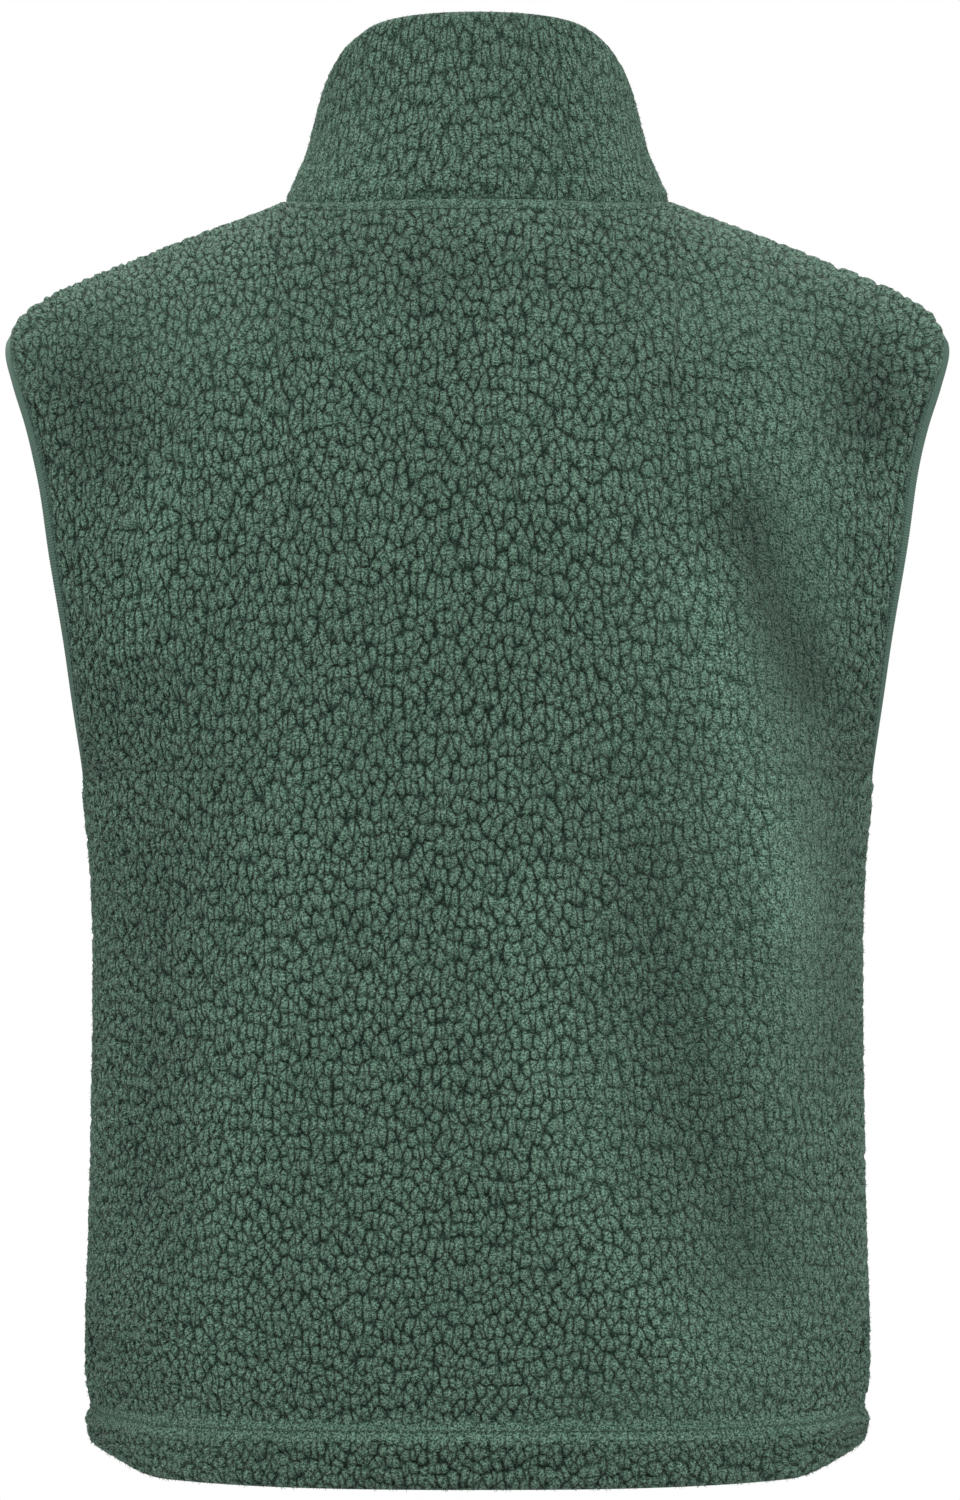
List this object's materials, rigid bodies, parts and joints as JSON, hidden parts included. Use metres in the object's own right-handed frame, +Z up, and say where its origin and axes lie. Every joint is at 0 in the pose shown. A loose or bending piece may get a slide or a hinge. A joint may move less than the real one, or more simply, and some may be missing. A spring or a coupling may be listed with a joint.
{
  "type": "sherpa fleece vest",
  "caption": "Sleeveless sherpa fleece vest with a stand collar, bound armholes, a turned-up hem and a closed full-length front zip, in its hollow worn shape.",
  "frame": {"origin": "middle of the neck base at the height where the shoulder seams meet the collar; the wearer's shoulders hold the vest there", "axes": "+Z up, +X towards the wearer's left, +Y towards the back, so the front faces -Y"},
  "size_m": [0.4475, 0.255, 0.679],
  "materials": {
    "fleece_back": "green sherpa pile",
    "fleece_front_left": "green sherpa pile",
    "fleece_front_right": "green sherpa pile",
    "fleece_collar": "green sherpa pile, two layers",
    "binding": "ribbed stretch knit",
    "zip_tape": "woven tape",
    "zip_teeth": "moulded plastic",
    "slider_metal": "dark green paint"
  },
  "bodies": {
    "vest": {"back": "fleece_back", "front_left": "fleece_front_left", "front_right": "fleece_front_right", "collar": "fleece_collar", "armhole_binding_left": "binding", "armhole_binding_right": "binding", "zip_tape_left": "zip_tape", "zip_tape_right": "zip_tape", "zip_chain": "zip_teeth", "zip_box": "zip_teeth", "zip_slider": "slider_metal"},
    "zip_pull": {"zip_pull": "slider_metal"}
  },
  "joints": [
    {"name": "pull_hinge", "type": "hinge", "parent": "vest", "child": "zip_pull", "pos_m": [0, -0.05761, 0.01123], "axis": [-1, 0, 0], "range_deg": [0, 150]}
  ]
}
